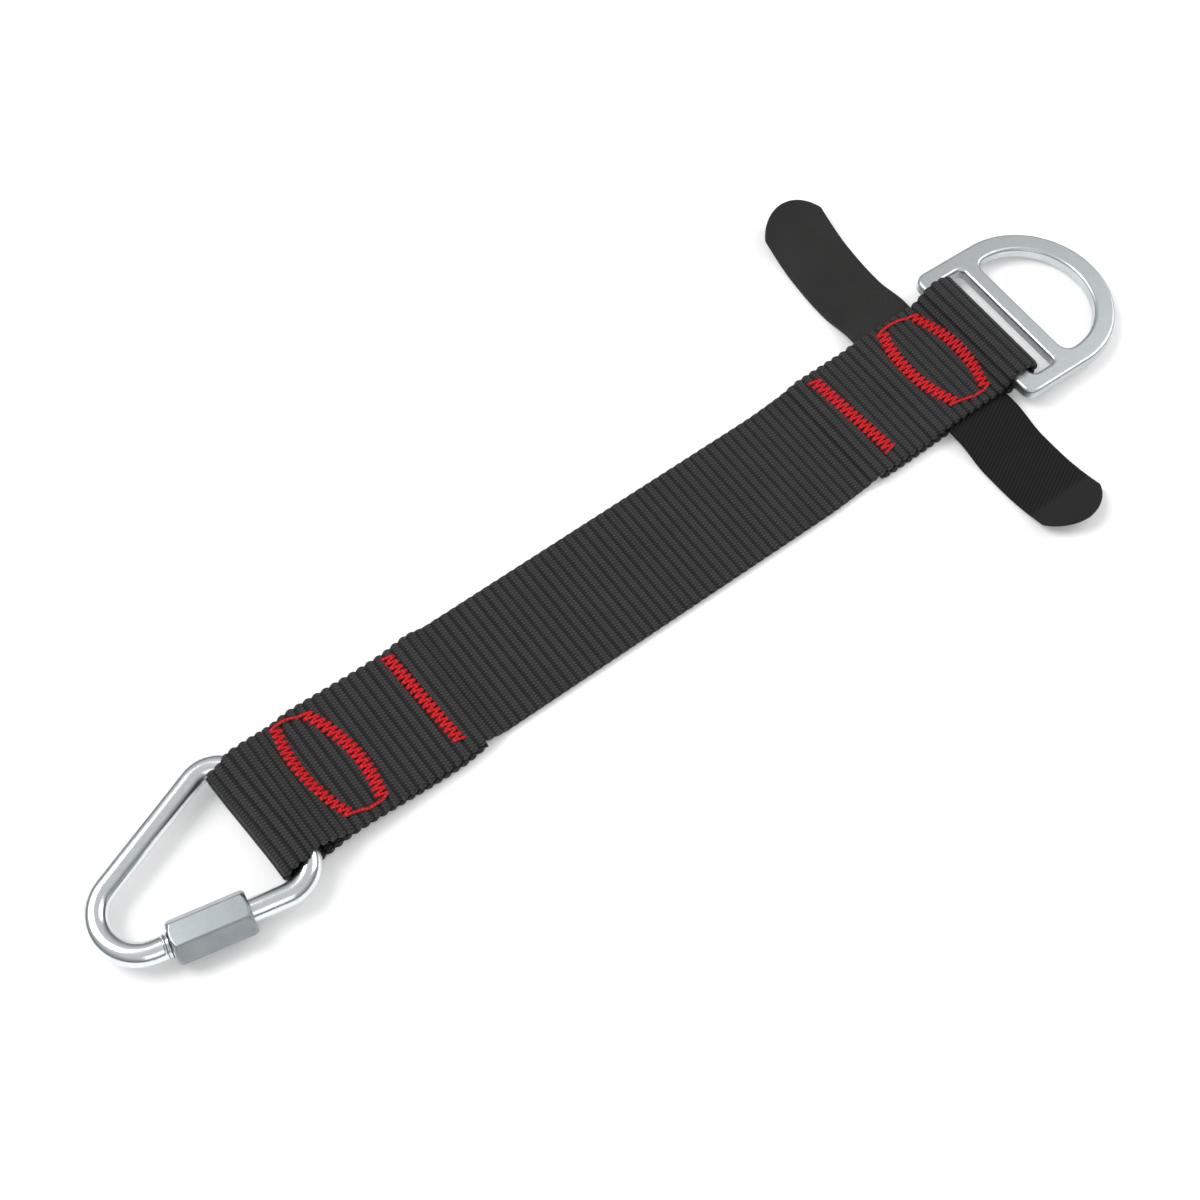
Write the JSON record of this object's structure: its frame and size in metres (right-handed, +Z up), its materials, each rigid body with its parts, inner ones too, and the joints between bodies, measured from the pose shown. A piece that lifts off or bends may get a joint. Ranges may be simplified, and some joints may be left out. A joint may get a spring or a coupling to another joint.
{
  "type": "harness extension strap",
  "caption": "Sewn webbing strap with a flat D-ring at one end, a delta quick link with a hexagonal sleeve nut at the other, and a hook-and-loop keeper across it.",
  "frame": {"origin": "centre of the strap's underside, halfway along its single layer", "axes": "+X along the strap towards the D-ring, +Y across the strap towards the loop tab, +Z up from the face that the strap lies on"},
  "size_m": [0.4226, 0.1635, 0.0138],
  "materials": {
    "webbing": "heavy black ribbed polyester webbing",
    "zinc_plate": "satin zinc-plated steel",
    "bright_zinc": "bright zinc-plated steel rod",
    "zinc_sleeve": "zinc-plated steel, turned",
    "loop_tape": "black tape, smooth woven back",
    "hook_tape": "black tape, fine hooks",
    "red_thread": "bright red bonded sewing thread"
  },
  "bodies": {
    "strap_middle": {"webbing_middle": "webbing"},
    "strap_ring_end": {"webbing_ring_end": "webbing", "loop_tape_root": "loop_tape", "hook_tape_root": "hook_tape", "bar_stitch_ring_end_needle_thread": "red_thread", "bar_stitch_ring_end_bobbin_thread": "red_thread", "oval_stitch_ring_end_needle_thread": "red_thread", "oval_stitch_ring_end_bobbin_thread": "red_thread"},
    "strap_link_end": {"webbing_link_end": "webbing", "bar_stitch_link_end_needle_thread": "red_thread", "bar_stitch_link_end_bobbin_thread": "red_thread", "oval_stitch_link_end_needle_thread": "red_thread", "oval_stitch_link_end_bobbin_thread": "red_thread"},
    "d_ring": {"d_ring": "zinc_plate"},
    "quick_link": {"quick_link_rod": "bright_zinc"},
    "link_sleeve": {"quick_link_sleeve": "zinc_sleeve"},
    "loop_tab": {"loop_tape_tab": "loop_tape"},
    "hook_tab": {"hook_tape_tab": "hook_tape"}
  },
  "joints": [
    {"name": "strap_fold_ring_end", "type": "hinge", "parent": "strap_middle", "child": "strap_ring_end", "pos_m": [0.07, 0, 0.0013], "axis": [0, 1, 0], "range_deg": [-90, 90]},
    {"name": "strap_fold_link_end", "type": "hinge", "parent": "strap_middle", "child": "strap_link_end", "pos_m": [-0.07, 0, 0.0013], "axis": [0, 1, 0], "range_deg": [-90, 90]},
    {"name": "d_ring_swing", "type": "hinge", "parent": "strap_ring_end", "child": "d_ring", "pos_m": [0.1475, 0, 0.00671], "axis": [0, 1, 0], "range_deg": [-90, 90]},
    {"name": "quick_link_swing", "type": "hinge", "parent": "strap_link_end", "child": "quick_link", "pos_m": [-0.1513, -0.0043, 0.0069], "axis": [-0.0785, 0.9969, 0], "range_deg": [-90, 90]},
    {"name": "sleeve_travel", "type": "slide", "parent": "quick_link", "child": "link_sleeve", "axis": [0.9784, -0.2067, 0], "range_m": [0, 0.0117]},
    {"name": "loop_tab_fold", "type": "hinge", "parent": "strap_ring_end", "child": "loop_tab", "pos_m": [0.127, 0.0247, 0.0034], "axis": [1, 0, 0], "range_deg": [-90, 90]},
    {"name": "hook_tab_fold", "type": "hinge", "parent": "strap_ring_end", "child": "hook_tab", "pos_m": [0.127, -0.0247, 0.0034], "axis": [1, 0, 0], "range_deg": [-90, 90]}
  ]
}
